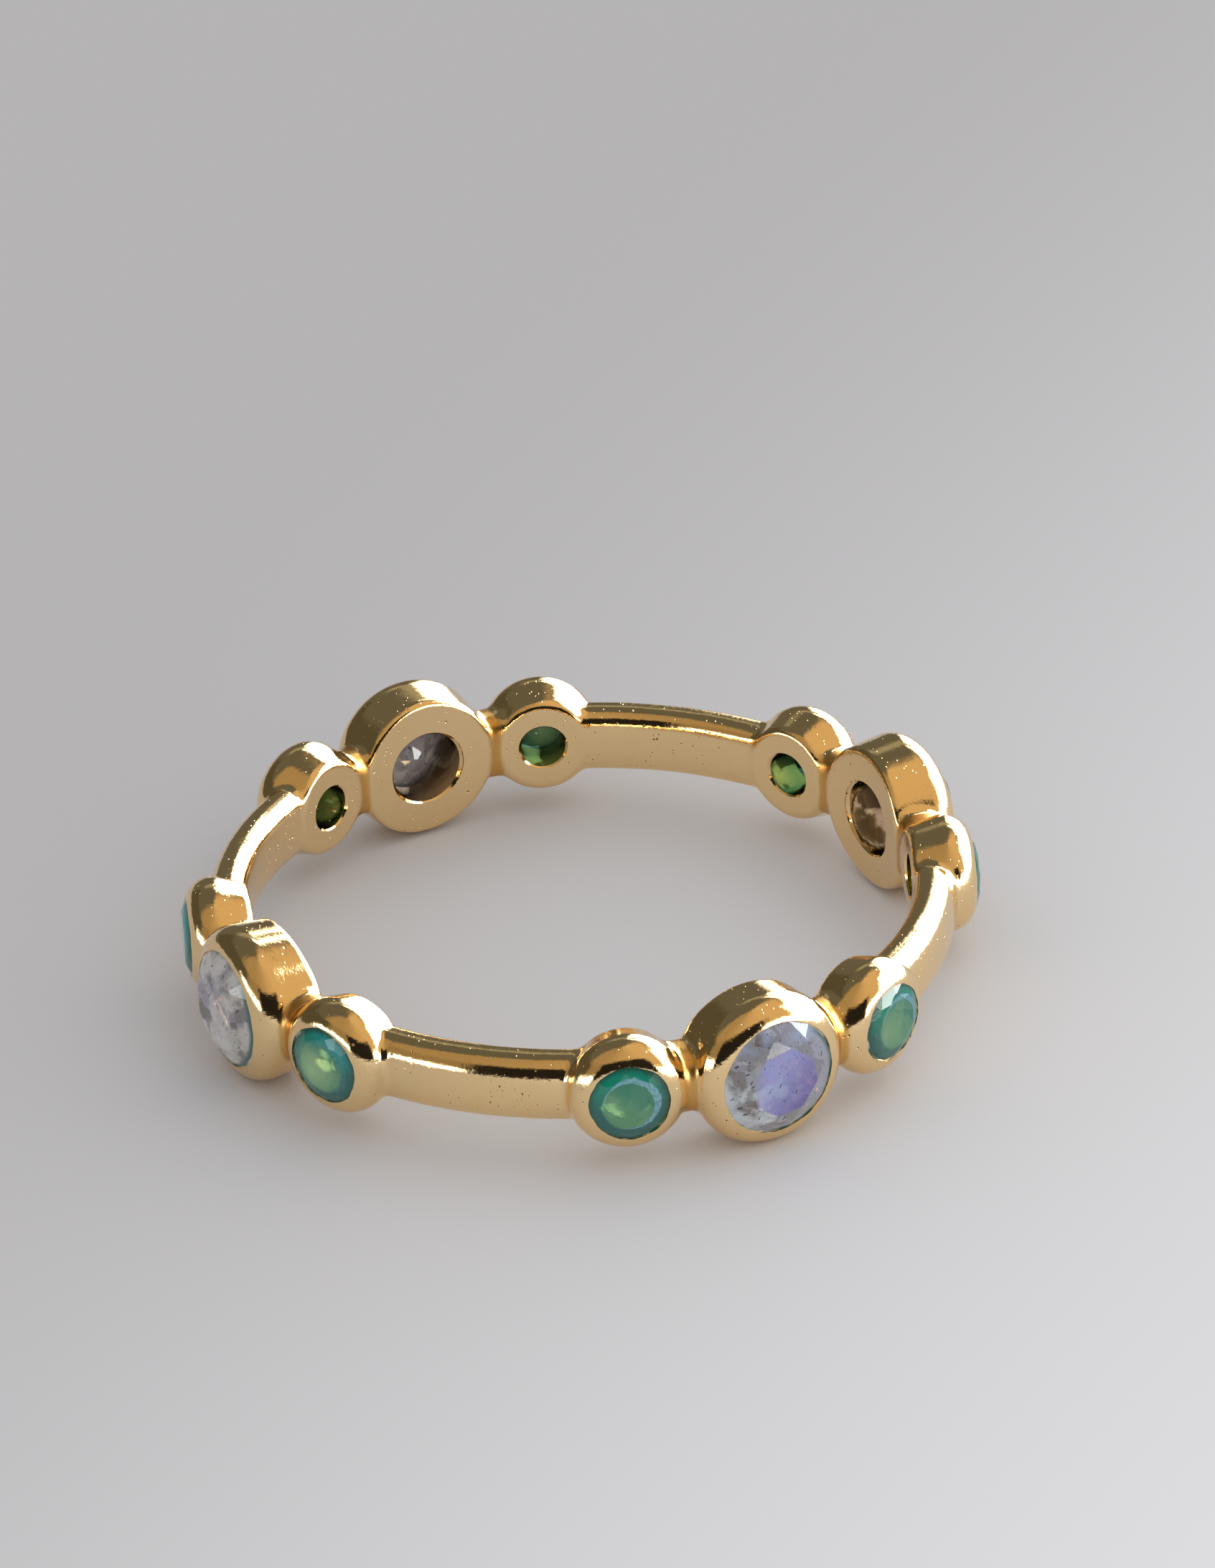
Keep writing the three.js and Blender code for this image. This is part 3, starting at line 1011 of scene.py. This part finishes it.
def make_floor():
    mesh = bpy.data.meshes.new("floor")
    turns = ((-1, -1), (1, -1), (1, 1), (-1, 1))
    corners = [(x * FLOOR_REACH, y * FLOOR_REACH, 0) for x, y in turns]
    mesh.from_pydata(corners, [], [(0, 1, 2, 3)])
    floor = add_object("floor", mesh)
    material, tree, shader = new_material("pale_floor")
    lighter_way = (math.cos(FLOOR_LIGHTER_WAY) / MM, math.sin(FLOOR_LIGHTER_WAY) / MM, 0)
    place = tree.node("ShaderNodeTexCoord").outputs["Object"]
    along = tree.vector("DOT_PRODUCT", place, lighter_way)
    # Painted light: the floor's colour lightens towards the window side.
    lighter = tree.step(along, FLOOR_DARK_END, FLOOR_LIGHT_END)
    tree.fill(shader.inputs["Base Color"], tree.mix(lighter, FLOOR_DARKER, FLOOR_LIGHTER))
    shader.inputs["Roughness"].default_value = 0.8
    shader.inputs["Specular IOR Level"].default_value = 0.0
    mesh.materials.append(material)


# ---- Light ----

# The room that the gold mirrors. Its windows are brighter than white.
DARK_BACK = (0.13, 0.13, 0.11, 1)
CEILING_LEFT = (0.40, 0.30, 0.16, 1)
CEILING_RIGHT = (0.70, 0.52, 0.29, 1)
BLACK_FRONT = (0.014, 0.012, 0.010, 1)
FAR_LEFT_WALL = (0.09, 0.085, 0.06, 1)
NEAR_LEFT_WALL = (0.32, 0.24, 0.13, 1)
LOW_WINDOW = (3.4, 3.7, 3.8, 1)
RIGHT_WINDOW = (13.0, 13.0, 12.4, 1)
BACK_GLOW = (0.36, 0.36, 0.29, 1)

# The even light on the floor and the stones, and what shows beyond the floor.
PALE_LEFT = (0.60, 0.60, 0.62, 1)
PALE_RIGHT = (1.02, 1.01, 1.01, 1)
BEYOND_FLOOR = (0.6, 0.6, 0.61, 1)


def room_colour(world, bearing, lift):
    """A dark back, a warm ceiling, a black front where the camera stands, and two windows."""
    ceiling = world.mix(world.step(bearing, -50, 60), CEILING_LEFT, CEILING_RIGHT)
    lit = world.math("MULTIPLY", world.step(bearing, -95, -72), world.step(bearing, 135, 105))
    overhead = world.step(lift, 48, 58)
    overhead = world.math("MULTIPLY", overhead, world.between(bearing, 90, 150, 40))
    colour = world.mix(world.math("MAXIMUM", lit, overhead), DARK_BACK, ceiling)

    low = world.step(lift, 38, 30)
    front = world.math("MULTIPLY", low, world.between(bearing, -36, 44, 10))
    colour = world.mix(front, colour, BLACK_FRONT)
    left_wall = world.mix(world.step(bearing, -74, -62), FAR_LEFT_WALL, NEAR_LEFT_WALL)
    low_window = world.math("MULTIPLY", world.step(lift, 13, 7), world.step(bearing, -92, -80))
    left_wall = world.mix(low_window, left_wall, LOW_WINDOW)
    left = world.math("MULTIPLY", low, world.between(bearing, -145, -36, 8))
    colour = world.mix(left, colour, left_wall)

    window_top = world.math("MULTIPLY_ADD", world.step(bearing, 66, 90), 34.0, 12.0)
    below_top = world.step(world.math("SUBTRACT", lift, window_top), 4, -4)
    window = world.math("MULTIPLY", below_top, world.between(bearing, 48, 172, 12))
    colour = world.mix(window, colour, RIGHT_WINDOW)
    far_round = world.step(world.math("ABSOLUTE", bearing), 150, 165)
    behind = world.math("MULTIPLY", world.between(lift, 33, 44, 6), far_round)
    return world.mix(behind, colour, BACK_GLOW)


def make_world():
    studio = bpy.data.worlds.new("studio")
    bpy.context.scene.world = studio
    studio.use_nodes = True
    studio.node_tree.nodes.clear()
    world = Nodes(studio.node_tree)

    # The room is laid out about the photo's viewing direction, and stays put in other views.
    turn = world.node("ShaderNodeVectorRotate", rotation_type="Z_AXIS")
    world.fill(turn.inputs["Vector"], world.node("ShaderNodeTexCoord").outputs["Generated"])
    turn.inputs["Angle"].default_value = -CAMERA_AZIMUTH
    right, away, up = world.parts(turn.outputs[0])

    # In degrees: the bearing from the room's front, positive to the right, and the height.
    ahead = world.math("MULTIPLY", away, -1.0)
    bearing = world.math("DEGREES", world.math("ARCTAN2", right, ahead))
    lift = world.math("DEGREES", world.math("ARCSINE", up))
    room = room_colour(world, bearing, lift)

    # Only mirrored rays see the room. Light that falls on the floor and the stones is even and pale.
    pale = world.mix(world.step(bearing, -60, 120), PALE_LEFT, PALE_RIGHT)
    path = world.node("ShaderNodeLightPath").outputs
    mirrored = world.math("MAXIMUM", path["Is Glossy Ray"], path["Is Transmission Ray"])
    unscattered = world.math("LESS_THAN", path["Diffuse Depth"], 0.5)
    colour = world.mix(world.math("MULTIPLY", mirrored, unscattered), pale, room)
    colour = world.mix(path["Is Camera Ray"], colour, BEYOND_FLOOR)
    background = world.node("ShaderNodeBackground")
    world.fill(background.inputs["Color"], colour)
    output = world.node("ShaderNodeOutputWorld")
    world.links.new(background.outputs[0], output.inputs[0])


# ---- Everything together ----

def main():
    bpy.context.scene.view_settings.view_transform = "Standard"
    make_camera()
    make_floor()
    make_world()

    casting = make_casting()
    casting.data.materials.append(gold_material())
    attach(casting, "root")
    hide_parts("ring_body")

    uneven = np.random.default_rng(STONE_SEED)
    kinds = (
        ("labradorite", LARGE_STONE, labradorite_material(), FLASHES),
        ("green_onyx", SMALL_STONE, onyx_material(), WEAR_AND_SHEEN),
    )
    for node, cut, material, strengths in kinds:
        for count, strength in enumerate(strengths, 1):
            low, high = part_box(f"{node}_{count}")
            middle = (low + high) / 2
            azimuth = math.atan2(middle.y, middle.x)
            stone = make_stone(f"{node}_stone_{count}", cut, azimuth, uneven, strength)
            stone.data.materials.append(material)
            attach(stone, "root")
            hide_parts(f"{node}_{count}")


main()
